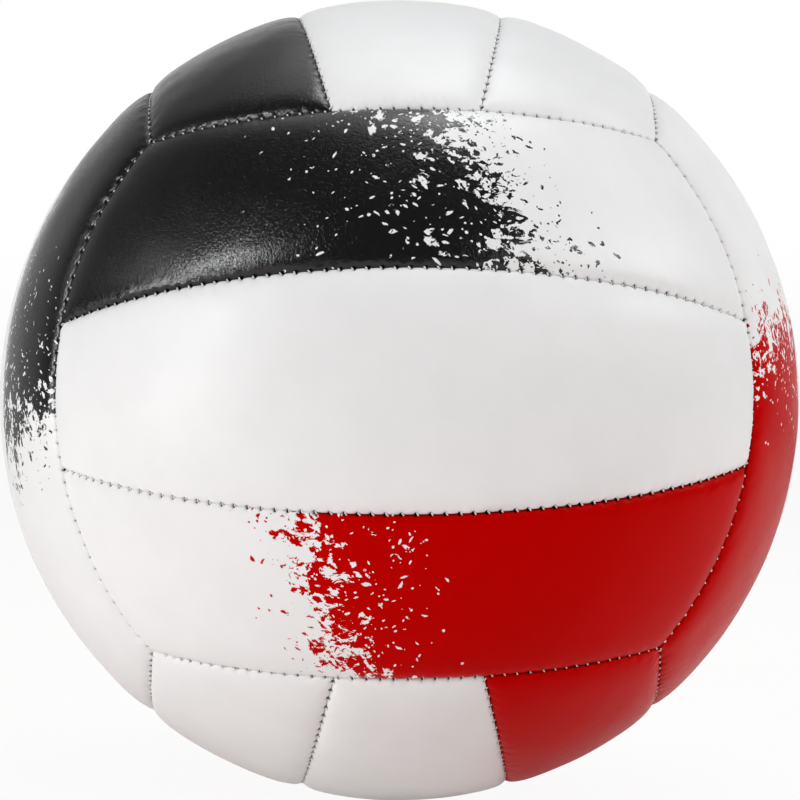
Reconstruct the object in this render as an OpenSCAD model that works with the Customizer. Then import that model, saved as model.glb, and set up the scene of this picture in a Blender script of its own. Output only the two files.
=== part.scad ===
// Indoor volleyball with a stitched cover of eighteen padded panels.
// The origin is the centre of the ball. +Z is up, the front group of panels faces -Y,
// and the inflation valve is in the middle panel of the back group, on +Y.

/* [Ball] */
// Diameter over the crowns of the panels
ball_d = 210; // [204:0.5:216]

/* [Panel layout] */
// Angle at the ball's centre from the middle of a group of three panels to its long edge
long_edge_angle = 38.1; // [36:0.1:41]
// Angle at the ball's centre from the middle of a group to the seams of its middle panel
strip_seam_angle = 14.8; // [13:0.1:17]

/* [Cover] */
// Thickness of the leather, also where it is turned in at a seam
leather_t = 1.3; // [0.9:0.1:1.6]
// Thickness of the foam pad under the leather
foam_t = 2.6; // [2.6:0.1:3.4]
// Thickness of the lining cloth under the foam
lining_t = 0.7; // [0.5:0.1:1]
// Width of a panel's rounded shoulder, from the seam to the crown
shoulder_w = 10; // [8:0.5:12]
// Depth of the groove at a seam, below the crown
groove_depth = 2.4; // [1.8:0.1:2.6]

/* [Seam thread] */
// Diameter of the waxed thread along the bottom of the grooves
thread_d = 0.8; // [0.5:0.1:1]

/* [Bladder] */
// Thickness of the butyl rubber bladder
bladder_t = 0.9; // [0.6:0.1:1.2]
// Thickness of the round patch inside the bladder, around the valve
patch_t = 0.9; // [0.6:0.1:1.2]
// Diameter of the round patch
patch_d = 50; // [40:1:60]

/* [Valve] */
// Diameter of the rubber stem that fills the hole in the panel
stem_d = 9; // [8:0.5:11]
// Length of the stem, from its flush end to its end inside the bladder
stem_l = 17; // [15.5:0.5:20]
// Diameter of the flange that is bonded to the patch
flange_d = 26; // [22:1:32]
// Thickness of the flange
flange_t = 1.4; // [1:0.1:2]
// Diameter of the soft core that is pushed into the stem
core_d = 5; // [4.4:0.1:5.6]
// Length of the core
core_l = 14; // [12:0.5:14.5]
// Diameter of the hole for the needle of a pump
needle_d = 2; // [1.8:0.1:2.2]
// Length of the round hole, from its countersink to the closed lips
needle_l = 8; // [6:0.5:10]

/* [Hidden] */
$fn = 96;
R = ball_d / 2;
// Air between two layers, and between a layer and a seam, so that no two solids overlap
glue_gap = 0.05;

// A cover panel is a grid of flat faces: this many along it and across it, of which the first
// and last lie at these distances from a seam and round off its shoulder
along_n = 16;
across_n = 8;
SHOULDER_STEPS = [0, 1, 3.5];
shoulder_power = 4.5;
// Longest crown face, and how far it cuts inside the round surface
face_l = 15;
face_sag = face_l ^ 2 / (8 * R);

// How far the shoulder still dips at its last bend, where the foam begins
bend_dip = groove_depth * dip(SHOULDER_STEPS[2]);

// Outer radius of each layer under the leather, and the radius where the turned-in leather ends
foam_r = R - leather_t - bend_dip - face_sag - glue_gap;
lining_r = foam_r - foam_t - glue_gap;
rim_r = lining_r - lining_t;
bladder_r = rim_r - glue_gap;
patch_r = bladder_r - bladder_t - glue_gap;
flange_r = patch_r - patch_t - glue_gap;
// The lining reaches the turned-in leather, and the foam ends just before the shoulder's last bend
lining_inset = leather_t + 2 * (glue_gap + face_sag);
bend_gap = 0.5;
foam_inset = leather_t + SHOULDER_STEPS[2] + bend_gap;

// A long edge is an arc of a circle through two corners of a cube and the edge's own middle.
// The circle's axis leans away from the group by edge_tilt, and from the ball's centre the
// circle is seen at edge_half_angle from that axis.
corner = 1 / sqrt(3);
edge_tilt = atan2(sin(long_edge_angle) - corner, cos(long_edge_angle) - corner);
edge_half_angle = acos((cos(edge_tilt) - sin(edge_tilt)) * corner);

// The thread lies in the bottom of the groove, clear of both walls, and each length ends
// clear of the seam that crosses its end
thread_rise = 1.15 * thread_d;
thread_r = R - groove_depth + thread_rise;
thread_end = 2 * thread_d;

// The stem ends this far below the crown, and the core this far below the stem
stem_recess = 1;
core_recess = 0.8;
stem_top = R - stem_recess;
core_top = stem_top - core_recess;
// Play around the stem in the cover, the bladder and the patch
stem_play = 0.2;
// Length of a cut that starts at the ball's centre and passes its surface
cut_l = 1.1 * R;
// Countersunk mouth of the needle's hole
mouth_d = 3.4;
mouth_l = 0.8;
// Lips of the valve: a thin slit through the rest of the core
slit_w = 2.4;
slit_t = 0.15;

// Each group of three panels: name, direction of its middle, direction across its panels,
// and the names and colours of its panels in that order
WHITE = "whitesmoke";
BLACK = "#1c1c1f";
RED = "#c8141e";
GROUPS = [
    ["front", [0, -1, 0], [0, 0, 1], [["lower", RED], ["middle", WHITE], ["upper", BLACK]]],
    ["back", [0, 1, 0], [0, 0, 1], [["lower", RED], ["middle", WHITE], ["upper", BLACK]]],
    ["top", [0, 0, 1], [1, 0, 0], [["left", BLACK], ["middle", WHITE], ["right", WHITE]]],
    ["bottom", [0, 0, -1], [1, 0, 0], [["left", WHITE], ["middle", WHITE], ["right", RED]]],
    ["left", [-1, 0, 0], [0, 1, 0], [["front", BLACK], ["middle", WHITE], ["rear", RED]]],
    ["right", [1, 0, 0], [0, 1, 0], [["front", RED], ["middle", WHITE], ["rear", BLACK]]],
];
BACK = GROUPS[1];
LAYERS = ["panel", "foam", "lining"];
SIDES = [-1, 0, 1];

function layer_name(group, side, layer) = str(group[0], "_", group[3][side + 1][0], "_", layer);

// In a group's own axes, x runs along the panels, y across them and z out through their middle.
// Each seam, and each line of a panel's grid that runs along it, is part of a circle whose axis
// leans from y by a tilt, seen from the ball's centre at a half angle from that axis.
EDGE = [edge_tilt, edge_half_angle];
STRIP = [strip_seam_angle, 90];
function axis_at(tilt, side) = [0, side * cos(tilt), -sin(tilt)];
function end_axis(side) = [-side * sin(edge_tilt), 0, cos(edge_tilt)];

// Half the turn of such a circle about its axis, from the middle to a long edge of the group
// that meets the end of the panel
function reach(circle) =
    let (
        lean = sin(circle[1]) * [cos(circle[0]) * cos(edge_tilt), sin(edge_tilt)],
        level = cos(edge_half_angle) + cos(circle[1]) * sin(circle[0]) * cos(edge_tilt)
    )
    acos(level / norm(lean)) - atan2(lean[1], lean[0]);

// The direction of a point of such a circle, turned about its axis from the middle
function circle_point(circle, turn) =
    let (tilt = circle[0], half = circle[1])
    cos(half) * axis_at(tilt, 1)
    + sin(half) * [sin(turn), cos(turn) * sin(tilt), cos(turn) * cos(tilt)];

function mix(a, b, share) = a + (b - a) * share;
function degrees_at(distance, r) = distance * 180 / (PI * r);

// Turns the children from a group's own axes to the ball's
module in_group(group) {
    out = group[1];
    across = group[2];
    along = cross(across, out);
    multmatrix([for (i = [0:2]) [along[i], across[i], out[i], 0]]) children();
}

// Turns the children so that their z axis lies along the given axis, and their x axis leans
// towards the middle of the group
module about(axis) {
    inward = [0, 0, 1] - axis[2] * axis;
    x = inward / norm(inward);
    y = cross(axis, x);
    multmatrix([for (i = [0:2]) [x[i], y[i], axis[i], 0]]) children();
}

// Distance of a grid line from the first of two opposite seams, where line n is at the second
function line_place(k, n, width, insets) =
    let (
        last = len(SHOULDER_STEPS) - 1,
        crown_start = insets[0] + SHOULDER_STEPS[last],
        crown_end = width - insets[1] - SHOULDER_STEPS[last]
    )
    k <= last ? insets[0] + SHOULDER_STEPS[k]
    : k >= n - last ? width - insets[1] - SHOULDER_STEPS[n - k]
    : mix(crown_start, crown_end, (k - last) / (n - 2 * last));

// How far the leather dips at a distance from the seam, from 1 at the seam to 0 at the crown
function dip(distance) = pow(max(0, 1 - distance / shoulder_w), shoulder_power);
function line_dip(k, n, width, insets) =
    let (place = line_place(k, n, width, insets))
    dip(min(place - insets[0], width - insets[1] - place));

// A point of a panel's grid between two circles. The insets are the clearances from its first
// seam, its second seam and its ends, and the surface is sunk below the crown by the sink.
function grid_point(i, j, from, to, insets, sink) =
    let (
        share = 2 * i / along_n - 1,
        near = circle_point(from, share * reach(from)),
        far = circle_point(to, share * reach(to)),
        width = R * acos(near * far) * PI / 180,
        circle = mix(from, to, line_place(j, across_n, width, insets) / width),
        length = 2 * R * sin(circle[1]) * reach(circle) * PI / 180,
        ends = [insets[2], insets[2]],
        turn = reach(circle) * (2 * line_place(i, along_n, length, ends) / length - 1),
        dip_across = line_dip(j, across_n, width, insets),
        dip_along = line_dip(i, along_n, length, ends),
        depth = groove_depth * (dip_across + dip_along - dip_across * dip_along)
    )
    (R - sink - depth) * circle_point(circle, turn);

function grid(from, to, insets, sink) =
    [for (j = [0:across_n], i = [0:along_n]) grid_point(i, j, from, to, insets, sink)];
function grid_index(i, j) = j * (along_n + 1) + i;

// The grid's border as one loop, anticlockwise from outside the ball
BORDER = concat(
    [for (i = [0:along_n - 1]) grid_index(i, 0)],
    [for (j = [0:across_n - 1]) grid_index(along_n, j)],
    [for (i = [along_n:-1:1]) grid_index(i, across_n)],
    [for (j = [across_n:-1:1]) grid_index(0, j)]
);

// The flat faces of a grid whose points start at a number, seen from outside or from inside
function grid_faces(first, outside) = [
    for (j = [0:across_n - 1], i = [0:along_n - 1], upper = [false, true])
    let (
        a = first + grid_index(i, j),
        b = first + grid_index(i + 1, j),
        c = first + grid_index(i + 1, j + 1),
        d = first + grid_index(i, j + 1)
    )
    outside ? (upper ? [a, d, c] : [a, c, b]) : (upper ? [a, c, d] : [a, b, c])
];

// The flat faces between two loops of points
function loop_faces(loop_a, loop_b) = [
    for (k = [0:len(loop_a) - 1], upper = [false, true])
    let (next = (k + 1) % len(loop_a))
    upper ? [loop_a[k], loop_a[next], loop_b[next]] : [loop_a[k], loop_b[next], loop_b[k]]
];

function at_radius(points, r) = [for (p = points) r * p / norm(p)];

// A leather tray between two circles: crowned outside, hollow inside, turned in at its edges
module tray(from, to, insets) {
    outside = grid(from, to, insets, 0);
    inside = grid(from, to, insets + leather_t * [1, 1, 1], leather_t);
    rim_outside = at_radius([for (k = BORDER) outside[k]], rim_r + face_sag);
    rim_inside = at_radius([for (k = BORDER) inside[k]], rim_r + face_sag);
    inside_first = len(outside);
    rim_first = 2 * len(outside);
    loops = [
        BORDER,
        [for (k = [0:len(BORDER) - 1]) rim_first + k],
        [for (k = [0:len(BORDER) - 1]) rim_first + len(BORDER) + k],
        [for (k = BORDER) inside_first + k]
    ];
    polyhedron(
        points = concat(outside, inside, rim_outside, rim_inside),
        faces = concat(
            grid_faces(0, true),
            grid_faces(inside_first, false),
            [for (k = [0:2]) each loop_faces(loops[k], loops[k + 1])]
        ),
        convexity = 4
    );
}

// The cut surfaces of a sphere, with its poles well away from the panels
module shell(inner_r, outer_r) {
    rotate([90, 0, 0]) difference() {
        sphere(outer_r);
        sphere(inner_r);
    }
}

// All space beyond a flat wall that stands square to an axis
module beyond(axis, level) {
    about(axis) translate([-2 * R, -2 * R, level]) cube([4 * R, 4 * R, 2 * R]);
}

// A flat wall beside a seam, clear of it between two radii. Inside the circle the layer is
// beyond the wall, and outside it the wall's far side is cut away.
function level_inside(half_angle, inset, outer_r) =
    outer_r * cos(half_angle - degrees_at(inset, outer_r));
function level_outside(half_angle, inset, inner_r) =
    inner_r * cos(half_angle + degrees_at(inset, inner_r));

// One panel's share of an inner layer, with flat sides that stand clear of the seams
module layer_plate(side, inner_r, outer_r, inset) {
    end_level = level_inside(edge_half_angle, inset, outer_r);
    strip_level = level_inside(90, inset, outer_r);
    difference() {
        intersection() {
            shell(inner_r, outer_r);
            beyond(end_axis(-1), end_level);
            beyond(end_axis(1), end_level);
            beyond(side == 0 ? -axis_at(STRIP[0], -1) : axis_at(STRIP[0], side), strip_level);
        }
        if (side == 0) beyond(axis_at(STRIP[0], 1), -strip_level);
        else beyond(axis_at(EDGE[0], side), level_outside(EDGE[1], inset, inner_r));
    }
}

// The hole for the valve's stem, along the z axis of the back group
module stem_hole() {
    cylinder(h = cut_l, d = stem_d + 2 * stem_play);
}

// Leaves the hole for the stem open in the back group's middle panel
module around_valve(group, side) {
    difference() {
        children();
        if (group == BACK && side == 0) stem_hole();
    }
}

// A leather panel whose edges are turned in at the seams, like a shallow tray. An outer panel
// is hollow towards its long edge, so flat faces there need more clearance.
module cover_panel(group, side) {
    color(group[3][side + 1][1])
    in_group(group)
    around_valve(group, side) {
        if (side == 0) tray([-STRIP[0], STRIP[1]], STRIP, glue_gap * [1, 1, 1]);
        else rotate([0, 0, side < 0 ? 180 : 0]) tray(STRIP, EDGE, glue_gap * [1, 1, 1] + [0, face_sag, 0]);
    }
}

// The foam pad that fills a panel's tray
module foam_pad(group, side) {
    color("khaki")
    in_group(group)
    around_valve(group, side)
    layer_plate(side, foam_r - foam_t, foam_r, foam_inset);
}

// The woven cloth that closes a tray from inside
module lining_cloth(group, side) {
    color("linen")
    in_group(group)
    around_valve(group, side)
    layer_plate(side, rim_r, lining_r, lining_inset);
}

// A length of thread in the groove of a seam
module thread_arc(circle, side) {
    half = circle[1];
    turn = reach(circle) - degrees_at(thread_end, thread_r * sin(half));
    about(axis_at(circle[0], side)) rotate([0, 0, -turn])
    rotate_extrude(angle = 2 * turn)
    translate(thread_r * [sin(half), cos(half)]) circle(d = thread_d);
}

// Thread of the twelve seams between two groups
module long_edge_thread() {
    color("gainsboro")
    for (group = GROUPS, side = [-1, 1])
    in_group(group) thread_arc(EDGE, side);
}

// Thread of the twelve seams inside the groups
module strip_seam_thread() {
    color("gainsboro")
    for (group = GROUPS, side = [-1, 1])
    in_group(group) thread_arc(STRIP, side);
}

// Round rubber bladder, open only at the valve
module bladder() {
    color("#3a3a3a")
    in_group(BACK) difference() {
        shell(bladder_r - bladder_t, bladder_r);
        stem_hole();
    }
}

// Round patch that stiffens the bladder around the valve
module valve_patch() {
    color("#4a4a4a")
    in_group(BACK) difference() {
        intersection() {
            shell(patch_r - patch_t, patch_r);
            cylinder(h = R, d = patch_d);
        }
        stem_hole();
    }
}

// Rubber stem with its flange inside the bladder, and the bore that holds the core
module valve_stem() {
    color("#2a2a2a")
    in_group(BACK) difference() {
        union() {
            translate([0, 0, stem_top - stem_l]) cylinder(h = stem_l, d = stem_d);
            intersection() {
                shell(flange_r - flange_t, flange_r);
                cylinder(h = R, d = flange_d);
            }
        }
        cylinder(h = cut_l, d = core_d);
    }
}

// Soft core with the needle's hole and the lips that close behind it
module valve_core() {
    hole_end = core_top - mouth_l - needle_l;
    color("#d8d2c0")
    in_group(BACK) difference() {
        translate([0, 0, core_top - core_l]) cylinder(h = core_l, d = core_d);
        translate([0, 0, core_top - mouth_l]) cylinder(h = mouth_l, d1 = needle_d, d2 = mouth_d);
        translate([0, 0, hole_end]) cylinder(h = needle_l, d = needle_d);
        translate([-slit_w / 2, -slit_t / 2, 0]) cube([slit_w, slit_t, hole_end + slit_w]);
    }
}

for (group = GROUPS, side = SIDES) {
    cover_panel(group, side);
    foam_pad(group, side);
    lining_cloth(group, side);
}
long_edge_thread();
strip_seam_thread();
bladder();
valve_patch();
valve_stem();
valve_core();
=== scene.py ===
import math

import bpy
import numpy as np
from mathutils import Matrix, Vector


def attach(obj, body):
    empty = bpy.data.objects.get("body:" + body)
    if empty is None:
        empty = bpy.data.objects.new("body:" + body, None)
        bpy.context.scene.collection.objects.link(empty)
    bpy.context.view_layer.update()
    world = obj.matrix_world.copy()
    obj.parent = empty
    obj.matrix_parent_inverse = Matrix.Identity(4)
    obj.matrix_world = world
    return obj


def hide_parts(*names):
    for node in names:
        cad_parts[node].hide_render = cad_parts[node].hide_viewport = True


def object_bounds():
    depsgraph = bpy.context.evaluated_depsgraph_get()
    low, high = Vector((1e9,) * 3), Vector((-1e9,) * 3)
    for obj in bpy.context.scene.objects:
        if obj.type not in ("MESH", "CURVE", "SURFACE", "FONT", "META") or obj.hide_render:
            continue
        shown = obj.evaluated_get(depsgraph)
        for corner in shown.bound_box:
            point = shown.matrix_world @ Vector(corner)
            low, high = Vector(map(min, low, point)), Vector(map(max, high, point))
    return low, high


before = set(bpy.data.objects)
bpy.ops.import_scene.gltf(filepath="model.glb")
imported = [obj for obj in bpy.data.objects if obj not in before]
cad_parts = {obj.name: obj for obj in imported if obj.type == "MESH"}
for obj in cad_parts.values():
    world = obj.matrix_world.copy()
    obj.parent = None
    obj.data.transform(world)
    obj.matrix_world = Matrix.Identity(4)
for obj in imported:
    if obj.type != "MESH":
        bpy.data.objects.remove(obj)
cad_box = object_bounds()

# Driving dimensions, in metres and radians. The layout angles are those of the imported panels.
MM = 0.001
BALL_R = (cad_box[1][0] - cad_box[0][0]) / 2
LONG_EDGE_ANGLE = math.radians(38.1)
STRIP_SEAM_ANGLE = math.radians(14.8)
LEATHER_T = 1.3 * MM
RIM_R = BALL_R - 5.3 * MM

# Section of a panel beside a seam: a gentle fall, a closer one, and a tight turn into the groove
FALL_DEPTH, FALL_WIDTH, FALL_POWER = 1.0 * MM, 10 * MM, 3.0
DROP_DEPTH, DROP_WIDTH, DROP_POWER = 0.35 * MM, 2.6 * MM, 2.0
TURN_R, PRESSED = 0.9 * MM, 0.3 * MM
CORNER_R = 1.6 * MM
PIT_DEPTH, PIT_WIDTH = 1.0 * MM, 0.5 * MM

# Stitches: pitch along a seam, how far from its ends they stop, and how they close up near one of them
PITCH, PITCH_VARIES = 3.1 * MM, 0.06
SEAM_END = 1.6 * MM
TIGHT_LENGTH, TIGHT_SHARE = 14 * MM, 0.88

# How stitches pull the leather down and apart, the creased strip beside a seam, and the needle holes.
# The strip and the holes are also where the leather's colour is darkened, as painted shade.
PULL_LENGTH, PULL_REACH, PULL_DEPTH = 0.8 * MM, 0.7 * MM, 0.22 * MM
SEAM_GAP, PULL_GAP, APART_LENGTH = 0.04 * MM, 0.1 * MM, 0.6 * PULL_LENGTH
CREASE_WIDTH = 0.5 * MM
HOLE_IN, HOLE_R, HOLE_DEPTH = 0.23 * MM, 0.3 * MM, 0.8 * MM

# A rung of thread at a stitch: its radius, how much its two plies swell it and turn, how far it stands
# beside the needle holes, half its length across the groove, its lean along it, and how deep it lies
# in the middle and drops from there to its ends. Then how much three of these vary by chance.
THREAD_R, PLY_SWELL, PLY_TURN = 0.16 * MM, 0.16, 2.2
RUNG_BESIDE = 0.4 * MM
RUNG_HALF, RUNG_LEAN = 0.5 * MM, -0.35 * MM
RUNG_DEPTH, RUNG_DROP = 1.34 * MM, 0.7 * MM
HALF_VARIES, LEAN_VARIES, DEPTH_VARIES = 0.08, 0.2, 0.05 * MM
RUNG_SIDES, RUNG_RINGS = 8, 9

# Unevenness of the leather: puckers beside the seams, and swells. Waves are a count and two lengths.
PUCKER_DEPTH, PUCKER_REACH, PUCKER_WAVES = 0.05 * MM, 3 * MM, (10, 2 * MM, 6 * MM)
SWELL_DEPTH, SWELL_WAVES = 0.045 * MM, (14, 9 * MM, 30 * MM)

# A panel's mesh: a coarse grid, with finer rings in a band along its border
COARSE = 2 * MM
FINE = 8
BAND = 5 * MM
RING_STEPS = np.array([0, 0.05, 0.12, 0.22, 0.36, 0.55, 0.8, 1.15, 1.6, 2.3, 3.4]) * MM
RIM_RING, UNDER_RING = 8, 9

# Valve: its hole in one panel, with rings of points in place of a window of the grid
VALVE_PANEL = "back_middle"
VALVE_HOLE_R, VALVE_TURN_R = 4.7 * MM, 0.6 * MM
VALVE_STEPS = np.array([0, 0.04, 0.12, 0.24, 0.4, 0.6, 1.1, 1.8]) * MM
VALVE_WINDOW = 4
VALVE_DIP, VALVE_DIP_R = 0.35 * MM, 9 * MM

SEED = 41

# Groups of three panels: direction out, direction across, and the panels in that order
GROUPS = {
    "front": ((0, -1, 0), (0, 0, 1), ("lower", "middle", "upper")),
    "back": ((0, 1, 0), (0, 0, 1), ("lower", "middle", "upper")),
    "top": ((0, 0, 1), (1, 0, 0), ("left", "middle", "right")),
    "bottom": ((0, 0, -1), (1, 0, 0), ("left", "middle", "right")),
    "left": ((-1, 0, 0), (0, 1, 0), ("front", "middle", "rear")),
    "right": ((1, 0, 0), (0, 1, 0), ("front", "middle", "rear")),
}

# Prints: (first colour, second colour, a point on the boundary in millimetres, the direction in
# which the first colour gives way to the second, how far the splinters reach back in millimetres)
PRINTS = {
    "front_upper": ("black", "white", (18, -92, 47), (0.86, 0, 0.50), 56),
    "front_lower": ("red", "white", (-19, -93, -42), (-0.98, 0, -0.17), 34),
    "left_front": ("black", "white", (-91, -52, -9), (0, -0.15, -1), 58),
    "right_front": ("red", "white", (89, -55, 15), (0, -0.1, 1), 38),
    "top_left": ("black", "white", (-48, 30, 88), (0.2, 1, 0), 45),
    "bottom_left": ("red", "white", (-45, -10, -92), (0.3, -1, 0), 34),
    "bottom_right": ("red", "white", (48, 34, -88), (0.1, 1, 0), 45),
    "back_upper": ("black", "white", (-20, 88, 48), (-0.9, 0, -0.4), 45),
    "back_lower": ("red", "white", (22, 88, -48), (0.9, 0, -0.4), 38),
    "left_rear": ("red", "white", (-88, 48, -8), (0, 0.1, 1), 38),
    "right_rear": ("black", "white", (88, 48, 10), (0, -0.2, 1), 38),
}


def unit(v):
    v = np.asarray(v, float)
    return v / np.linalg.norm(v, axis=-1, keepdims=True)


def axes_of(group):
    """Rows: the directions along the group's panels, across them and out."""
    out, across = np.array(GROUPS[group][0], float), np.array(GROUPS[group][1], float)
    return np.stack([np.cross(across, out), across, out])


# A long edge is an arc of a circle through two corners of a cube and the edge's own middle
CORNER = 1 / math.sqrt(3)
EDGE_TILT = math.atan2(math.sin(LONG_EDGE_ANGLE) - CORNER, math.cos(LONG_EDGE_ANGLE) - CORNER)
EDGE_HALF = math.acos((math.cos(EDGE_TILT) - math.sin(EDGE_TILT)) * CORNER)
EDGE = (EDGE_TILT, EDGE_HALF)
STRIP = (STRIP_SEAM_ANGLE, math.pi / 2)


def axis_at(tilt, side):
    return np.array([0, side * math.cos(tilt), -math.sin(tilt)])


def end_axis(side):
    return np.array([-side * math.sin(EDGE_TILT), 0, math.cos(EDGE_TILT)])


def reach(tilt, half):
    """Half the turn of a circle about its axis, from the middle to the end of the panel."""
    lean_x = np.sin(half) * np.cos(tilt) * math.cos(EDGE_TILT)
    lean_y = np.sin(half) * math.sin(EDGE_TILT)
    level = math.cos(EDGE_HALF) + np.cos(half) * np.sin(tilt) * math.cos(EDGE_TILT)
    return np.arccos(level / np.hypot(lean_x, lean_y)) - np.arctan2(lean_y, lean_x)


def circle_point(tilt, half, turn):
    """Unit vectors of points of such circles, in a group's own axes."""
    x = np.sin(half) * np.sin(turn)
    y = np.cos(half) * np.cos(tilt) + np.sin(half) * np.cos(turn) * np.sin(tilt)
    z = -np.cos(half) * np.sin(tilt) + np.sin(half) * np.cos(turn) * np.cos(tilt)
    return np.stack([x, y, z], -1)


class Seam:
    """A seam: its circle on the ball and the places of its stitches, from its middle."""

    def __init__(self, group, side, circle, number):
        axes = axes_of(group)
        self.half = circle[1]
        self.axis = axis_at(circle[0], side) @ axes
        self.middle = unit(np.array([0, side * math.sin(circle[0]), math.cos(circle[0])]) @ axes)
        self.middle = unit(self.middle - self.axis * (self.middle @ self.axis))
        self.along = np.cross(self.axis, self.middle)
        self.radius = BALL_R * math.sin(self.half)
        self.length = 2 * self.radius * float(reach(*circle))
        self.rng = np.random.default_rng(SEED + number)
        self.stitches = self.place_stitches()

    def place_stitches(self):
        """Hand-sewn stitches: a slightly uneven pitch that closes up a little at one end."""
        places, here = [], -self.length / 2 + SEAM_END
        while here < self.length / 2 - SEAM_END:
            places.append(here)
            tight = TIGHT_SHARE if self.length / 2 - here < TIGHT_LENGTH else 1.0
            here += PITCH * tight * (1 + PITCH_VARIES * self.rng.standard_normal())
        return np.sort(np.array(places) * self.rng.choice([-1, 1]))

    def distance(self, p):
        """Distance of unit vectors from the seam, positive on its axis's side."""
        return BALL_R * (self.half - np.arccos(np.clip(p @ self.axis, -1, 1)))

    def place(self, p):
        """Distance along the seam of the seam's point beside each unit vector."""
        return self.radius * np.arctan2(p @ self.along, p @ self.middle)

    def stitch_gap(self, p):
        """Distance along the seam from each unit vector to the nearest stitch."""
        s = self.place(p)
        after = np.clip(np.searchsorted(self.stitches, s), 1, len(self.stitches) - 1)
        return np.minimum(np.abs(s - self.stitches[after - 1]), np.abs(s - self.stitches[after]))

    def point(self, place):
        """Unit vector of the seam's point at a distance along it."""
        turn = place / self.radius
        ring = math.cos(turn) * self.middle + math.sin(turn) * self.along
        return math.cos(self.half) * self.axis + math.sin(self.half) * ring


def make_seams():
    seams = {}
    for group in GROUPS:
        for side in (-1, 1):
            seams[group, side, "edge"] = Seam(group, side, EDGE, len(seams))
            seams[group, side, "strip"] = Seam(group, side, STRIP, len(seams))
    return seams


SEAMS = make_seams()


def seams_around(group, side):
    """The four seams of a panel, each with the sign that makes distances inside positive."""
    axes = axes_of(group)
    if side == 0:
        found = [(SEAMS[group, 1, "strip"], -1), (SEAMS[group, -1, "strip"], -1)]
    else:
        found = [(SEAMS[group, side, "strip"], 1), (SEAMS[group, side, "edge"], -1)]
    for end in (-1, 1):
        axis = end_axis(end) @ axes
        match = [s for key, s in SEAMS.items() if key[2] == "edge" and s.axis @ axis > 0.9999]
        found.append((match[0], 1))
    return found


def waves(p, rng, count, shortest, longest):
    """Smooth random unevenness of about unit height over the ball's surface."""
    total = np.zeros(len(p))
    for _ in range(count):
        direction = unit(rng.standard_normal(3))
        length = math.exp(rng.uniform(math.log(shortest), math.log(longest)))
        total += np.sin(p @ direction * (BALL_R / length * 2 * math.pi) + rng.uniform(0, 2 * math.pi))
    return total * math.sqrt(2 / count)


def fall(distance, width, power):
    return np.clip(1 - distance / width, 0, 1) ** power


def rounded_distance(distances):
    """Distance from the border, with the panel's corners rounded."""
    near = np.sort(distances, 1)[:, :2]
    in_corner = near.max(1) < CORNER_R
    rounded = CORNER_R - np.hypot(CORNER_R - near[:, 0], CORNER_R - near[:, 1])
    return np.where(in_corner, rounded, near[:, 0])


def shape_outside(p, around, rng):
    """Places unit vectors on the leather's outer surface. Also says how far each is in a hole or crease,
    marks by which the colour is darkened as painted shade.
    """
    gaps = [seam.stitch_gap(p) for seam, _ in around]
    for (seam, sign), gap in zip(around, gaps):
        d = sign * seam.distance(p)
        away = unit(sign * (seam.axis - (p @ seam.axis)[:, None] * p))
        pull = np.exp(-((gap / APART_LENGTH) ** 2))
        shift = (SEAM_GAP + PULL_GAP * pull) * np.exp(-np.maximum(d, 0) / PULL_REACH)
        p = unit(p + away * (shift / BALL_R)[:, None])
    distances = np.stack([sign * seam.distance(p) for seam, sign in around], 1)
    level, close = np.ones(len(p)), np.ones(len(p))
    for d in distances.T:
        level *= 1 - fall(d, FALL_WIDTH, FALL_POWER)
        close *= 1 - fall(d, DROP_WIDTH, DROP_POWER)
    depth = FALL_DEPTH * (1 - level) + DROP_DEPTH * (1 - close)
    d = rounded_distance(distances)
    left = np.clip(TURN_R - PRESSED - d, 0, TURN_R - PRESSED)
    depth += TURN_R - np.sqrt(TURN_R**2 - left**2)
    depth += PIT_DEPTH * np.clip(-d / PIT_WIDTH, 0, 1)
    marks = np.zeros((2, len(p)))
    for (seam, _), gap, near in zip(around, gaps, distances.T):
        near = np.maximum(near, 0)
        depth += PULL_DEPTH * np.exp(-((gap / PULL_LENGTH) ** 2) - near / PULL_REACH)
        hole = np.exp(-((gap / HOLE_R) ** 2) - ((near - HOLE_IN) / HOLE_R) ** 2)
        depth += HOLE_DEPTH * hole
        pucker = waves(p, rng, *PUCKER_WAVES)
        depth += PUCKER_DEPTH * pucker * np.exp(-((near / PUCKER_REACH) ** 2))
        # Marks for painted shade: in the needle holes, and in the creased strip beside the seam
        marks = np.maximum(marks, [hole, 1 - near / CREASE_WIDTH])
    depth += SWELL_DEPTH * waves(p, rng, *SWELL_WAVES)
    # The pit at the bottom of the groove counts as crease too, so it also gets painted shade
    marks[1] += np.clip(-d / PIT_WIDTH, 0, 1)
    return p, BALL_R - depth, np.clip(marks, 0, 1)


def build_mesh(name, points, faces, smooth=True):
    """A mesh object from an array of points and lists of faces of equal size each."""
    mesh = bpy.data.meshes.new(name)
    mesh.vertices.add(len(points))
    mesh.vertices.foreach_set("co", np.asarray(points, np.float32).ravel())
    corners = np.concatenate([np.asarray(f).ravel() for f in faces])
    sizes = np.concatenate([np.full(len(f), np.asarray(f).shape[1]) for f in faces])
    mesh.loops.add(len(corners))
    mesh.loops.foreach_set("vertex_index", corners.astype(np.int32))
    mesh.polygons.add(len(sizes))
    starts = np.concatenate([[0], np.cumsum(sizes)[:-1]])
    mesh.polygons.foreach_set("loop_start", starts.astype(np.int32))
    mesh.polygons.foreach_set("use_smooth", np.full(len(sizes), smooth))
    mesh.update(calc_edges=True)
    mesh.validate()
    piece = bpy.data.objects.new(name, mesh)
    bpy.context.scene.collection.objects.link(piece)
    return piece


def store(piece, name, values):
    layer = piece.data.attributes.new(name, "FLOAT", "POINT")
    layer.data.foreach_set("value", np.asarray(values, np.float32))


def blend_circles(share, circles):
    """Tilt and half angle of the circles that lie at shares from 0 to 1 between two."""
    (tilt_a, half_a), (tilt_b, half_b) = circles
    return tilt_a + (tilt_b - tilt_a) * share, half_a + (half_b - half_a) * share


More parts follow.
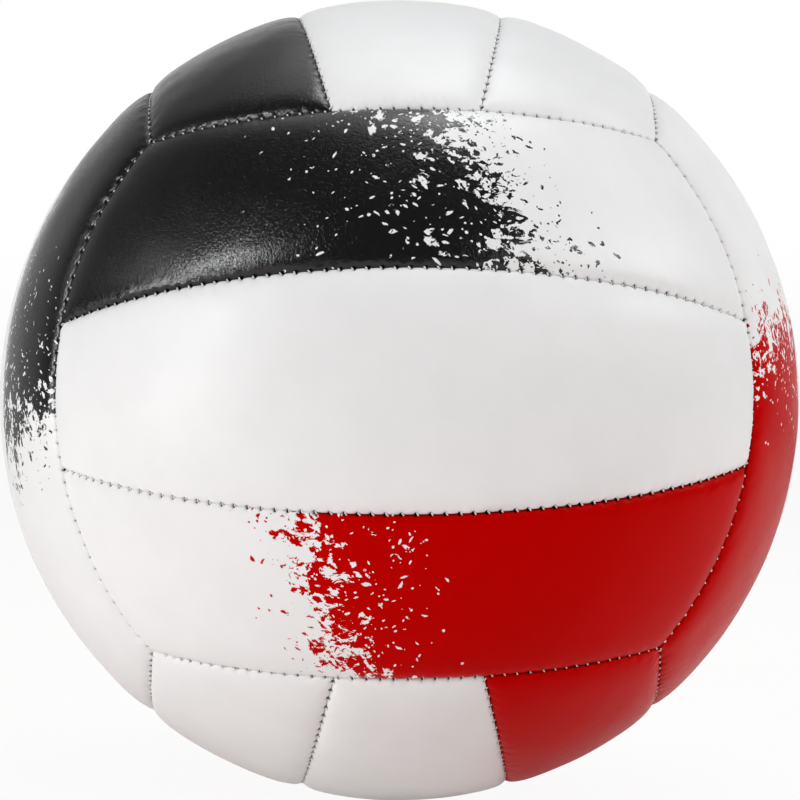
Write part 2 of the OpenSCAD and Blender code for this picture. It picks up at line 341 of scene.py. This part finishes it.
def panel_points(share_along, share_across, circles):
    """Unit vectors at shares from -1 to 1 along a panel and 0 to 1 across it."""
    tilt, half = blend_circles(share_across, circles)
    return circle_point(tilt, half, share_along * reach(tilt, half))


def coarse_cells(length):
    """How many cells of the grid fit a length between the bands, as an even number."""
    cells = int(round((length - 2 * BAND) / COARSE))
    return cells + cells % 2


def border_loop(n_along, n_across):
    """Columns and rows of the points around a grid."""
    return np.array(
        [(k, 0) for k in range(n_along)]
        + [(n_along, k) for k in range(n_across)]
        + [(k, n_across) for k in range(n_along, 0, -1)]
        + [(0, k) for k in range(n_across, 0, -1)]
    )


def refine(ring):
    """A closed ring with FINE steps in place of each of its own."""
    steps = np.arange(FINE)[None, :, None] / FINE
    return (ring[:, None] * (1 - steps) + np.roll(ring, -1, 0)[:, None] * steps).reshape(-1, 2)


def panel_shares(circles):
    """Shares along and across of the coarse grid, and of the fine loops from border to grid."""
    samples = 65
    middle_row = panel_points(np.linspace(-1, 1, samples), np.full(samples, 0.5), circles)
    n_along = coarse_cells(BALL_R * np.linalg.norm(np.diff(middle_row, axis=0), axis=1).sum())
    ends = panel_points(np.zeros(2), np.array([0, 1.0]), circles)
    n_across = coarse_cells(BALL_R * math.acos(ends[0] @ ends[1]))
    i, j = np.meshgrid(np.arange(n_along + 1), np.arange(n_across + 1))
    a = 2 * i / n_along - 1.0
    facing = panel_points(a, 0 * a, circles) * panel_points(a, 0 * a + 1, circles)
    width = BALL_R * np.arccos(np.sum(facing, -1))
    across = (BAND + (width - 2 * BAND) * j / n_across) / width
    tilt, half = blend_circles(across, circles)
    along = a * (1 - BAND / (BALL_R * np.sin(half) * reach(tilt, half)))
    grid = np.stack([along, across], -1)
    loop = border_loop(n_along, n_across)
    inner = grid[loop[:, 1], loop[:, 0]]
    outer = np.stack([2 * loop[:, 0] / n_along - 1.0, loop[:, 1] / n_across], 1)
    rings = [refine(outer) + (refine(inner) - refine(outer)) * (d / BAND) for d in RING_STEPS]
    return grid, rings, loop


class Shell:
    """The points and faces of a panel under construction."""

    def __init__(self):
        self.points, self.quads, self.steps, self.total = [], [], [], 0

    def add(self, points):
        """Adds points and returns the number of the first one."""
        self.points.append(points)
        self.total += len(points)
        return self.total - len(points)

    def band(self, firsts, count):
        """Quads from each loop to the next, given each loop's first point."""
        k = np.arange(count)
        n = (k + 1) % count
        for a, b in zip(firsts, firsts[1:]):
            self.quads.append(np.stack([a + k, a + n, b + n, b + k], 1))

    def step(self, fine, coarse, turned):
        """Faces between a fine loop and a coarse one, from fine to coarse unless turned."""
        k = np.arange(len(coarse))
        edge = [fine + (FINE * k + m) % (FINE * len(coarse)) for m in range(FINE + 1)]
        faces = np.stack([*edge, np.roll(coarse, -1), coarse], 1)
        self.steps.append(faces[:, ::-1] if turned else faces)


def valve_window(shape):
    """Rows and columns of the grid's points around the valve, in the order of the border's loop."""
    there = np.arange(-VALVE_WINDOW, VALVE_WINDOW)
    same = np.full(2 * VALVE_WINDOW, VALVE_WINDOW)
    rows = np.concatenate([-same, there, same, -there])
    columns = np.concatenate([there, same, -there, -same])
    return shape[0] // 2 + rows, shape[1] // 2 + columns


def valve_rings(window, out):
    """Rings of unit vectors, from the edge of the valve's hole out, in line with the loop around it."""
    side = unit(window[0] - out * (window[0] @ out))
    up = np.cross(out, side)
    turn = np.unwrap(np.arctan2(window @ up, window @ side))
    turn = np.append(turn, turn[0] + 2 * math.pi * np.sign(turn[-1] - turn[0]))
    turn = np.interp(np.arange(FINE * len(window)) / FINE, np.arange(len(turn)), turn)[:, None]
    ring = np.cos(turn) * side + np.sin(turn) * up
    return [math.cos(r) * out + math.sin(r) * ring for r in (VALVE_HOLE_R + VALVE_STEPS) / BALL_R]


def valve_depth(p, out):
    """How far the leather dips around the valve and turns down at the edge of its hole."""
    distance = BALL_R * np.arccos(np.clip(p @ out, -1, 1))
    left = np.clip(VALVE_HOLE_R + VALVE_TURN_R - distance, 0, VALVE_TURN_R)
    dip = VALVE_DIP * np.exp(-((distance / VALVE_DIP_R) ** 2))
    return dip + VALVE_TURN_R - np.sqrt(VALVE_TURN_R**2 - left**2)


def open_hole(shell, p, under, window, lower):
    """Joins the rings around the valve's hole to the outer sheet and to the one underneath."""
    count = FINE * len(window)
    rings = [len(p) - count * (k + 1) for k in range(len(VALVE_STEPS))]
    edge, last = rings[-1], rings[0]
    rows = [slice(first, first + count) for first in (edge, last)]
    below = [shell.add(p[row] * under[row, None]) for row in rows]
    shell.band([*rings, *below], count)
    shell.step(last, window, turned=True)
    shell.step(below[1], window + lower, turned=False)


def lay_out_panel(group, side, has_valve):
    """Unit vectors of a panel's points, the numbers of its grid's points, its border and the valve's."""
    circles = [(-STRIP[0], STRIP[1]), STRIP] if side == 0 else [STRIP, EDGE]
    turned = np.array([-1, -1, 1]) if side < 0 else np.ones(3)
    grid, rings, loop = panel_shares(circles)
    kept = np.ones(grid.shape[:2], bool)
    if has_valve:
        kept[tuple(slice(n // 2 + 1 - VALVE_WINDOW, n // 2 + VALVE_WINDOW) for n in kept.shape)] = False
    first_grid = sum(len(ring) for ring in rings)
    numbers = np.where(kept, first_grid + np.cumsum(kept).reshape(kept.shape) - 1, -1)
    shares = np.concatenate([*rings, grid[kept]])
    axes = axes_of(group)
    p = (panel_points(shares[:, 0], shares[:, 1], circles) * turned) @ axes
    border, window = numbers[loop[:, 1], loop[:, 0]], None
    if has_valve:
        window = numbers[valve_window(kept.shape)]
        p = np.concatenate([p, *valve_rings(p[window], axes[2])])
    return p, numbers, border, window


def close_panel(p, radius, under, numbers, border, window):
    """Closes a panel's outer sheet with its turned-in edge and the hollow side of its leather."""
    count = FINE * len(border)
    first_grid = count * len(RING_STEPS)
    shell = Shell()
    shell.add(p * radius[:, None])
    rim, band = (slice(count * k, count * (k + 1)) for k in (RIM_RING, UNDER_RING))
    walls = [p[:count] * RIM_R, p[rim] * RIM_R, p[rim] * under[rim, None], p[band] * under[band, None]]
    walls = [shell.add(wall) for wall in walls]
    sheet = slice(first_grid, numbers.max() + 1)
    lower = shell.add(p[sheet] * under[sheet, None]) - first_grid
    shell.band([*walls[::-1], *range(0, first_grid, count)], count)
    cells = np.stack([numbers[:-1, :-1], numbers[:-1, 1:], numbers[1:, 1:], numbers[1:, :-1]], -1)
    cells = cells[cells.min(-1) >= 0]
    shell.quads += [cells, cells[:, ::-1] + lower]
    shell.step(first_grid - count, border, turned=False)
    shell.step(walls[-1], border + lower, turned=True)
    if window is not None:
        open_hole(shell, p, under, window, lower)
    return shell


def make_panel(group, side):
    """A leather panel: crowned outside, turned in at its seams, and hollow underneath."""
    name = f"{group}_{GROUPS[group][2][side + 1]}"
    has_valve = name == VALVE_PANEL
    p, numbers, border, window = lay_out_panel(group, side, has_valve)
    rng = np.random.default_rng(SEED * 100 + 3 * list(GROUPS).index(group) + side + 1)
    p, radius, marks = shape_outside(p, seams_around(group, side), rng)
    under = radius - LEATHER_T
    if has_valve:
        radius = radius - valve_depth(p, axes_of(group)[2])
    shell = close_panel(p, radius, under, numbers, border, window)

    faces = [np.concatenate(shell.quads), *shell.steps]
    piece = build_mesh(name + "_leather", np.concatenate(shell.points), faces)
    # The turned-in walls and the underside count as wholly in a hole and a crease, so their colour gets the
    # full painted shade
    for layer, values in zip(("hole", "crease"), marks):
        store(piece, layer, np.concatenate([values, np.ones(shell.total - len(values))]))
    piece.data.materials.append(leather_for(name))
    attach(piece, "root")
    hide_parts(name + "_panel")


class Graph:
    """Short calls for the nodes of a material or world. A number or vector is set, a socket is linked."""

    def __init__(self, owner):
        owner.use_nodes = True
        self.owner, self.tree = owner, owner.node_tree
        self.tree.nodes.clear()

    def add(self, kind, inputs=None, output=0, **settings):
        made = self.tree.nodes.new("ShaderNode" + kind)
        for key, value in settings.items():
            setattr(made, key, value)
        for key, value in (inputs or {}).items():
            if isinstance(value, bpy.types.NodeSocket):
                self.tree.links.new(value, made.inputs[key])
            else:
                made.inputs[key].default_value = value
        return made.outputs[output]

    def math(self, operation, a, b=0.0, c=0.0):
        return self.add("Math", {0: a, 1: b, 2: c}, operation=operation)

    def vector(self, operation, a, b=(0, 0, 0)):
        return self.add("VectorMath", {0: a, 1: b}, operation=operation)

    def scaled(self, vector, factor):
        return self.add("VectorMath", {0: vector, "Scale": factor}, operation="SCALE")

    def dot(self, a, b):
        return self.add("VectorMath", {0: a, 1: b}, output="Value", operation="DOT_PRODUCT")

    def place(self):
        """The point on the object, in millimetres."""
        return self.scaled(self.add("TexCoord", output="Object"), 1 / MM)

    def noise(self, place, scale, detail=2.0, roughness=0.5, distortion=0.0, output="Fac"):
        shape = {"Detail": detail, "Roughness": roughness, "Distortion": distortion}
        return self.add("TexNoise", {"Vector": place, "Scale": scale, **shape}, output=output)

    def bump(self, strength, distance, height):
        return self.add("Bump", {"Strength": strength, "Distance": distance, "Height": height})

    def ramp(self, value, low, high, to_low=0.0, to_high=1.0, smooth=True):
        inputs = {"Value": value, "From Min": low, "From Max": high, "To Min": to_low, "To Max": to_high}
        kind = "SMOOTHSTEP" if smooth else "LINEAR"
        return self.add("MapRange", inputs, interpolation_type=kind, clamp=True)

    def mix(self, share, a, b):
        made = self.tree.nodes.new("ShaderNodeMix")
        made.data_type = "RGBA"
        for key, value in (("Factor", share), ("A", a), ("B", b)):
            socket = [s for s in made.inputs if s.name == key and s.enabled][0]
            if isinstance(value, bpy.types.NodeSocket):
                self.tree.links.new(value, socket)
            else:
                socket.default_value = value
        return [s for s in made.outputs if s.enabled][0]

    def finish(self, surface, kind="Material"):
        made = self.tree.nodes.new("ShaderNodeOutput" + kind)
        self.tree.links.new(surface, made.inputs["Surface"])
        return self.owner

    def principled(self, colour, roughness, bump, others=None):
        """The material, with a Principled surface."""
        inputs = {"Base Color": colour, "Roughness": roughness, "Normal": bump, **(others or {})}
        return self.finish(self.add("BsdfPrincipled", inputs))


# Finish of each colour: base colour, roughness, level and tint of the reflections, and share of the
# grain. Then how much of a printed colour is left in the crease beside a seam, as painted shade.
COLOURS = {"white": (0.84, 0.84, 0.845, 1), "black": (0.005, 0.0052, 0.0052, 1), "red": (0.49, 0.0, 0.0, 1)}
ROUGHNESS = {"white": 0.4, "black": 0.17, "red": 0.315}
GLOSS = {"white": 0.35, "black": 0.5, "red": 0.07}
GLOSS_TINT = {"white": (1, 1, 1, 1), "black": (1, 1, 1, 1), "red": (1, 0.12, 0.04, 1)}
GRAIN = {"white": 0.12, "black": 0.85, "red": 0.15}
CREASE_PAINTED_SHADE = {"black": 0.12, "red": 0.3}
GRAIN_DEPTH = 0.1 * MM
# Share of the colour in its darkest patches, share left in a needle hole as painted shade, how far the
# roughness wanders, the share of pebbles in the grain, and how much rougher a crease is
DARKEST, HOLE_PAINTED_SHADE, WEAR = 0.975, 0.03, 0.03
PEBBLES, ROUGH_CREASE = 0.4, 0.5


def flat_point(group, point):
    """A point of the ball, with its group's panels laid flat: millimetres along and across."""
    along, across, out = axes_of(group) @ np.asarray(point, float)
    return np.array([math.atan2(along, out), math.atan2(across, out)]) * BALL_R / MM


def flat_place(g, place, group):
    """The same as flat_point, as nodes."""
    along, across, out = (g.dot(place, tuple(axis)) for axis in axes_of(group))
    scale = BALL_R / MM
    angles = [g.math("ARCTAN2", side, out) for side in (along, across)]
    return g.add("CombineXYZ", {k: g.math("MULTIPLY", angle, scale) for k, angle in enumerate(angles)})


class Print:
    """Two colours on a panel laid flat, with a boundary that breaks up into ragged splinters.

    Lengths are in millimetres. The boundary drifts up to DRIFT to either side, its ragged edge spreads
    over SPREAD and lies BACK behind it, and splinters of either colour reach SLACK across it.
    """

    DRIFT, SPREAD, BACK, SLACK = 17.0, 46.0, 24.0, 2.0
    # Most turn of a splinter in radians, and how soon long and distant ones get rare
    TURN, FEW_LONG, FEW_FAR = 1.2, 1.6, 1.7

    def __init__(self, g, place, name):
        _, _, point, direction, self.back = PRINTS[name]
        group = name.split("_")[0]
        self.g = g
        self.flat = flat_place(g, place, group)
        start = flat_point(group, point)
        ahead = flat_point(group, np.array(point) + unit(direction)) - start
        self.direction = unit(ahead)
        self.start = float(start @ self.direction)
        noise = g.noise(self.flat, scale=0.9, detail=4.0, roughness=0.65, output="Color")
        self.ragged = g.vector("SUBTRACT", noise, (0.5, 0.5, 0.5))

    def past(self, flat):
        """Millimetres past the boundary, which drifts a little from its straight line."""
        g = self.g
        straight = g.math("SUBTRACT", g.dot(flat, (*self.direction, 0)), self.start)
        stretched = g.vector("MULTIPLY", flat, (0.7, 1.3, 0.0))
        drift = g.noise(stretched, scale=0.075, detail=2.0, roughness=0.6)
        return g.math("ADD", straight, g.math("MULTIPLY_ADD", drift, 2 * self.DRIFT, -self.DRIFT))

    def splinters(self, cell, half, slim, share, reach, shift, bend, ahead=False):
        """1 in the splinters of one size. There is at most one to a cell, and fewer with distance.

        half is the range of their half lengths, slim that of their width as a share of it, share their
        odds at the boundary, reach how far they go, shift tells sizes apart, and bend makes them ragged.
        """
        g = self.g
        away = (shift, 0.6 * shift, 0.0)
        bent = g.vector("ADD", self.flat, g.vector("MULTIPLY", self.ragged, (bend, bend, 0.0)))
        inputs = {"Vector": g.vector("ADD", bent, away), "Scale": 1 / cell}
        cells = g.add("TexVoronoi", inputs, output="Position", voronoi_dimensions="2D")
        draw = g.add("SeparateColor", {0: cells.node.outputs["Color"]}).node.outputs
        centre = g.vector("SUBTRACT", cells, away)
        turn = g.math("MULTIPLY_ADD", draw[0], 2 * self.TURN, -self.TURN)
        offset = g.vector("SUBTRACT", bent, centre)
        turned = g.add("VectorRotate", {"Vector": offset, "Angle": turn}, rotation_type="Z_AXIS")
        parts = g.add("SeparateXYZ", {0: turned}).node.outputs
        length = g.math("POWER", draw[1], self.FEW_LONG)
        length = g.math("MULTIPLY_ADD", length, half[1] - half[0], half[0])
        width = g.math("MULTIPLY", length, g.math("MULTIPLY_ADD", draw[2], slim[1] - slim[0], slim[0]))
        far = g.math("POWER", g.math("DIVIDE", parts[0], length), 2.0)
        wide = g.math("DIVIDE", g.math("ABSOLUTE", parts[1]), width)
        inside = g.math("LESS_THAN", g.math("ADD", far, wide), 1.0)
        clumps = g.noise(centre, scale=0.16, detail=1.0)
        clumps = g.ramp(clumps, 0.3, 0.7, to_low=0.15, to_high=1.7, smooth=False)
        limits = (-self.SLACK, reach, 1.0, 0.0) if ahead else (-reach, self.SLACK, 0.0, 1.0)
        near = g.math("POWER", g.ramp(self.past(centre), *limits, smooth=False), self.FEW_FAR)
        odds = g.math("MULTIPLY", g.math("MULTIPLY", near, share), clumps)
        dice = g.add("TexWhiteNoise", {"Vector": centre}, noise_dimensions="2D")
        return g.math("MULTIPLY", inside, g.math("LESS_THAN", dice, odds))

    def mask(self):
        """1 where the second colour shows, 0 where the first does."""
        g, back = self.g, self.back
        stretched = g.vector("MULTIPLY", self.flat, (0.55, 1.0, 0.0))
        wide = g.noise(stretched, scale=0.34, detail=6.0, roughness=0.66, distortion=0.9)
        edge = g.math("MULTIPLY_ADD", wide, self.SPREAD, -self.BACK)
        solid = g.math("GREATER_THAN", g.math("ADD", self.past(self.flat), edge), 0.0)
        large = self.splinters(
            cell=3.8, half=(1.1, 3.0), slim=(0.25, 0.6), share=1.5,
            reach=0.45 * back, shift=21.0, bend=3.0,
        )
        middle = self.splinters(
            cell=2.3, half=(0.45, 1.3), slim=(0.22, 0.5), share=0.8,
            reach=back, shift=83.0, bend=0.9,
        )
        dots = self.splinters(
            cell=1.4, half=(0.16, 0.5), slim=(0.45, 0.9), share=0.36,
            reach=1.2 * back, shift=147.0, bend=0.4,
        )
        islands = self.splinters(
            cell=2.2, half=(0.45, 1.7), slim=(0.22, 0.5), share=1.2,
            reach=17.0, shift=211.0, bend=2.0, ahead=True,
        )
        crumbs = self.splinters(
            cell=1.3, half=(0.15, 0.45), slim=(0.4, 0.9), share=0.45,
            reach=22.0, shift=277.0, bend=0.6, ahead=True,
        )
        second = g.math("MAXIMUM", g.math("MAXIMUM", solid, large), g.math("MAXIMUM", middle, dots))
        first = g.math("MAXIMUM", islands, crumbs)
        return g.math("MULTIPLY", second, g.math("SUBTRACT", 1.0, first))


def leather_for(name):
    """Coated leather: print, fine grain, soft wear, and painted shade in needle holes and beside seams."""
    g = Graph(bpy.data.materials.new(name + "_leather"))
    place = g.place()
    first, second = PRINTS.get(name, ("white", "white"))[:2]
    hole, crease = (
        g.add("Attribute", output="Fac", attribute_name=layer, attribute_type="GEOMETRY")
        for layer in ("hole", "crease")
    )
    colour, rough, grain = COLOURS[first][:3], ROUGHNESS[first], GRAIN[first]
    if name in PRINTS:
        mask = Print(g, place, name).mask()
        # The printed colour is darkened in the crease beside a seam, as painted shade
        crease_shaded_colour = g.scaled(colour, g.ramp(crease, 0.0, 0.9, to_low=1.0, to_high=CREASE_PAINTED_SHADE[first]))
        colour = g.mix(mask, crease_shaded_colour, COLOURS[second])
        rough, grain = (
            g.math("MULTIPLY_ADD", mask, table[second] - table[first], table[first])
            for table in (ROUGHNESS, GRAIN)
        )
    tone = g.ramp(g.noise(place, scale=0.09, detail=3.0), 0.3, 0.7, to_low=DARKEST)
    # Random tone, times painted shade in the needle holes
    shade = g.math("MULTIPLY", tone, g.ramp(hole, 0.1, 0.6, to_low=1.0, to_high=HOLE_PAINTED_SHADE))
    slanted = g.add("VectorRotate", {"Vector": place, "Axis": (0, 1, 0), "Angle": 0.6})
    stretched = g.vector("MULTIPLY", slanted, (1.7, 1.2, 0.9))
    creases = g.noise(stretched, scale=1.5, detail=2.5, roughness=0.6, distortion=0.8)
    pebbles = g.add("TexVoronoi", {"Vector": place, "Scale": 1.6, "Randomness": 1.0}, feature="SMOOTH_F1")
    bump = g.bump(grain, GRAIN_DEPTH, g.math("ADD", g.math("MULTIPLY", pebbles, PEBBLES), creases))
    wear = g.ramp(g.noise(place, scale=0.5, detail=3.0), 0.25, 0.75, to_low=-WEAR, to_high=WEAR)
    rough = g.math("ADD", g.math("MULTIPLY_ADD", crease, ROUGH_CREASE, rough), wear)
    gloss = {"Specular IOR Level": GLOSS[first], "Specular Tint": GLOSS_TINT[first]}
    return g.principled(g.scaled(colour, shade), rough, bump, gloss)


def thread_material():
    """Waxed twisted thread: pale, with darker fibres."""
    g = Graph(bpy.data.materials.new("thread"))
    fibre = g.noise(g.place(), scale=9.0, detail=3.0, roughness=0.6)
    colour = g.mix(g.ramp(fibre, 0.3, 0.7), (0.72, 0.72, 0.71, 1), (0.86, 0.86, 0.85, 1))
    return g.principled(colour, 0.55, g.bump(0.4, 0.05 * MM, fibre))


def rubber_material(name, colour, roughness, bloom):
    """Moulded rubber with a matt, slightly uneven skin and a faint bloom, as much paler as bloom says."""
    g = Graph(bpy.data.materials.new(name))
    place = g.place()
    patches = g.ramp(g.noise(place, scale=0.4, detail=4.0), 0.35, 0.75)
    pale = tuple(c + bloom for c in colour[:3]) + (1,)
    skin = g.noise(place, scale=4.0, detail=4.0, roughness=0.6)
    rough = g.ramp(skin, 0.3, 0.7, to_low=roughness - 0.07, to_high=roughness + 0.07)
    return g.principled(g.mix(patches, colour, pale), rough, g.bump(0.3, 0.08 * MM, skin))


def foam_material():
    """Closed-cell foam: small cells in pale yellow."""
    g = Graph(bpy.data.materials.new("foam"))
    cells = g.add("TexVoronoi", {"Vector": g.place(), "Scale": 1.6, "Randomness": 1.0}, feature="F1")
    colour = g.mix(g.ramp(cells, 0.0, 0.6), (0.60, 0.54, 0.36, 1), (0.80, 0.75, 0.56, 1))
    return g.principled(colour, 0.85, g.bump(0.6, 0.2 * MM, cells))


def cloth_material():
    """Plain woven lining."""
    g = Graph(bpy.data.materials.new("lining"))
    inputs = {"Vector": g.place(), "Scale": 0.9, "Distortion": 0.4}
    warp, weft = (g.add("TexWave", inputs, output="Fac", bands_direction=way) for way in ("X", "Z"))
    weave = g.math("MULTIPLY", warp, weft)
    colour = g.mix(weave, (0.62, 0.58, 0.50, 1), (0.82, 0.79, 0.72, 1))
    return g.principled(colour, 0.9, g.bump(0.5, 0.2 * MM, weave))


def rung(seam, stitch):
    """One bridge of twisted thread across a groove: its rings of points and its two tips."""
    share = np.linspace(-1, 1, RUNG_RINGS)
    turn = np.linspace(0, 2 * math.pi, RUNG_SIDES, endpoint=False)
    up = seam.point(stitch - RUNG_BESIDE)
    along = unit(np.cross(seam.axis, up))
    across = np.cross(up, along)
    lean = RUNG_LEAN * (1 + LEAN_VARIES * seam.rng.standard_normal())
    half = RUNG_HALF * (1 + HALF_VARIES * seam.rng.standard_normal())
    top = BALL_R - RUNG_DEPTH - DEPTH_VARIES * seam.rng.standard_normal()
    line = (
        up * (top - RUNG_DROP * share**2)[:, None]
        + across * (half * share)[:, None]
        + along * (lean * share)[:, None]
    )
    ahead = unit(np.gradient(line, axis=0))
    lift = unit(up - (ahead @ up)[:, None] * ahead)
    side = np.cross(ahead, lift)
    # The thread thins out towards its tips
    thin = np.sqrt(np.clip(1 - np.abs(share) ** 6, 0.05, 1))
    twist = PLY_TURN * share + seam.rng.uniform(0, math.pi)
    r = THREAD_R * (1 + PLY_SWELL * np.cos(2 * (turn[None, :] - twist[:, None]))) * thin[:, None]
    rings = (
        line[:, None]
        + lift[:, None] * (r * np.cos(turn))[..., None]
        + side[:, None] * (r * np.sin(turn))[..., None]
    )
    return rings.reshape(-1, 3), line[[0, -1]]


def make_stitches(kind, node, material):
    """The rungs of thread that cross the grooves of one kind of seam."""
    shell, caps = Shell(), []
    k = np.arange(RUNG_SIDES)
    n = (k + 1) % RUNG_SIDES
    seams = [seam for key, seam in SEAMS.items() if key[2] == kind]
    for seam in seams:
        for stitch in seam.stitches:
            rings, tips = rung(seam, stitch)
            first = shell.add(rings)
            tip = shell.add(tips)
            loops = range(first, tip, RUNG_SIDES)
            shell.band(loops, RUNG_SIDES)
            caps.append(np.stack([loops[0] + n, loops[0] + k, np.full(RUNG_SIDES, tip)], 1))
            caps.append(np.stack([loops[-1] + k, loops[-1] + n, np.full(RUNG_SIDES, tip + 1)], 1))
    faces = [np.concatenate(shell.quads), np.concatenate(caps)]
    piece = build_mesh(node.replace("thread", "stitches"), np.concatenate(shell.points), faces)
    piece.data.materials.append(material)
    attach(piece, "root")
    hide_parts(node)


def dress_nodes():
    """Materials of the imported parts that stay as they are."""
    butyl = rubber_material("bladder_rubber", (0.012, 0.012, 0.012, 1), roughness=0.5, bloom=0.02)
    valve = rubber_material("valve_rubber", (0.016, 0.016, 0.017, 1), roughness=0.45, bloom=0.02)
    core = rubber_material("core_rubber", (0.52, 0.47, 0.36, 1), roughness=0.6, bloom=0.08)
    foam, cloth = foam_material(), cloth_material()
    for name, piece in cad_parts.items():
        look = {"bladder": butyl, "valve_patch": butyl, "valve_stem": valve, "valve_core": core}.get(name)
        if name.endswith("_foam"):
            look = foam
        if name.endswith("_lining"):
            look = cloth
        if look:
            for slot in piece.material_slots:
                slot.link = "OBJECT"
                slot.material = look


# Camera: fitted to the seams and the outline of the photographed ball. Its sensor is in millimetres.
FOCAL_PX, FRAME_PX = 1818.7, 800
CAMERA_D = 4.656 * BALL_R
CAMERA_AZ, CAMERA_EL, CAMERA_ROLL = math.radians(-1.26), math.radians(-1.13), math.radians(-0.30)
CENTRE_PX = (399.8, 400.2)
SENSOR = 36


def make_camera():
    data = bpy.data.cameras.new("camera")
    camera = bpy.data.objects.new("camera", data)
    bpy.context.scene.collection.objects.link(camera)
    ca, sa, ce, se = math.cos(CAMERA_AZ), math.sin(CAMERA_AZ), math.cos(CAMERA_EL), math.sin(CAMERA_EL)
    forward = Vector((-sa * ce, ca * ce, -se))
    level = Vector((ca, sa, 0))
    upright = level.cross(forward)
    right = math.cos(CAMERA_ROLL) * level + math.sin(CAMERA_ROLL) * upright
    up = -math.sin(CAMERA_ROLL) * level + math.cos(CAMERA_ROLL) * upright
    turn = Matrix((right, up, -forward)).transposed().to_4x4()
    camera.matrix_world = Matrix.Translation(-CAMERA_D * forward) @ turn
    data.sensor_width = SENSOR
    data.sensor_fit = "HORIZONTAL"
    data.lens = SENSOR * FOCAL_PX / FRAME_PX
    data.shift_x = (FRAME_PX / 2 - CENTRE_PX[0]) / FRAME_PX
    data.shift_y = (CENTRE_PX[1] - FRAME_PX / 2) / FRAME_PX
    data.clip_start, data.clip_end = 0.01, 50
    bpy.context.scene.camera = camera


# Lamps: bearing and height in degrees as seen from the ball, diameter in metres, power in watts
LAMP_DISTANCE = 1.4
LAMPS = {
    "key": (-52, 22, 0.3, 5.6),
    "left": (-60, 2, 0.4, 5.9),
    "left_side": (-78, 25, 0.45, 0.7),
    "right": (48, 25, 0.45, 3.5),
    "right_side": (76, 25, 0.45, 5.0),
    "right_high": (85, 50, 0.6, 1.8),
    "top": (180, 80, 1.2, 2.8),
    "top_right": (90, 78, 0.6, 4.5),
}
LAMP_COLOUR = (0.985, 0.995, 1.0)
# Light of the surroundings: an even part, and a backdrop behind the ball that brightens towards
# its middle. Each of its rows holds a start and an end, as cosines of the angle to +Y, and a strength.
EVEN_LIGHT = 0.095
BACKDROP = [(0.0, 0.6, 0.19), (0.65, 0.98, 0.5)]
# A bright patch in it, which gives the ball's left side a pale edge: its middle, and one such row
PATCH, PATCH_ROW = (-0.27, 0.955, 0.10), (0.99, 0.994, 1.0)
# Strength of the white that the camera sees at the horizon, where it meets the floor, and the
# height above it, as a sine, where that white is whole
HORIZON, WHITE_FROM = 0.95, 0.12
# Shares of plain white in the floor, as the camera sees it and as it lights the ball
FLOOR_SEEN, FLOOR_GLOW = 0.93, 0.11
FLOOR_HALF = 3.0
WHITE = (1, 1, 1, 1)


def make_lamp(name, bearing, height, size, power):
    data = bpy.data.lights.new(name, "AREA")
    data.shape, data.size, data.energy, data.color = "DISK", size, power, LAMP_COLOUR
    made = bpy.data.objects.new(name, data)
    bpy.context.scene.collection.objects.link(made)
    a, e = math.radians(bearing), math.radians(height)
    place = Vector((math.sin(a) * math.cos(e), -math.cos(a) * math.cos(e), math.sin(e)))
    made.location = LAMP_DISTANCE * place
    made.rotation_euler = (-place).to_track_quat("-Z", "Y").to_euler()


def make_floor():
    """Pale paper under the ball. It looks almost white, and keeps the ball's shadow."""
    corners = [(x * FLOOR_HALF, y * FLOOR_HALF, -BALL_R) for x, y in ((-1, -1), (1, -1), (1, 1), (-1, 1))]
    floor = build_mesh("floor", corners, [[[0, 1, 2, 3]]], smooth=False)
    g = Graph(bpy.data.materials.new("floor"))
    tone = g.ramp(g.noise(g.add("TexCoord", output="Object"), scale=30.0, detail=3.0), 0.3, 0.7)
    paper = g.add("BsdfDiffuse", {"Color": g.mix(tone, (0.91, 0.85, 0.815, 1), (0.93, 0.87, 0.835, 1))})
    white = g.add("Emission", {"Color": WHITE, "Strength": 1.0})
    seen = g.add("LightPath", output="Is Camera Ray")
    share = g.math("MULTIPLY_ADD", seen, FLOOR_SEEN - FLOOR_GLOW, FLOOR_GLOW)
    shown = g.add("MixShader", {0: share, 1: paper, 2: white})
    floor.data.materials.append(g.finish(shown))


def make_world():
    """White where the camera sees it. The ball is lit by a backdrop and a little from all around."""
    world = bpy.data.worlds.new("studio")
    bpy.context.scene.world = world
    g = Graph(world)
    place = g.add("TexCoord", output="Generated")
    behind, light = g.dot(place, (0, 1, 0)), EVEN_LIGHT
    for start, end, strength in BACKDROP:
        light = g.math("ADD", g.ramp(behind, start, end, to_high=strength), light)
    start, end, strength = PATCH_ROW
    patch = g.ramp(g.dot(place, tuple(unit(PATCH))), start, end, to_high=strength)
    dim = g.add("Background", {"Color": WHITE, "Strength": g.math("ADD", patch, light)})
    sky = g.ramp(g.dot(place, (0, 0, 1)), 0.0, WHITE_FROM, to_low=HORIZON)
    white = g.add("Background", {"Color": WHITE, "Strength": sky})
    seen = g.add("LightPath", output="Is Camera Ray")
    g.finish(g.add("MixShader", {0: seen, 1: dim, 2: white}), kind="World")


def make_stage():
    make_floor()
    make_world()
    for name, numbers in LAMPS.items():
        make_lamp(name, *numbers)
    bpy.context.scene.view_settings.view_transform = "Standard"


thread = thread_material()
make_camera()
for group in GROUPS:
    for side in (-1, 0, 1):
        make_panel(group, side)
make_stitches("edge", "long_edge_thread", thread)
make_stitches("strip", "strip_seam_thread", thread)
dress_nodes()
make_stage()
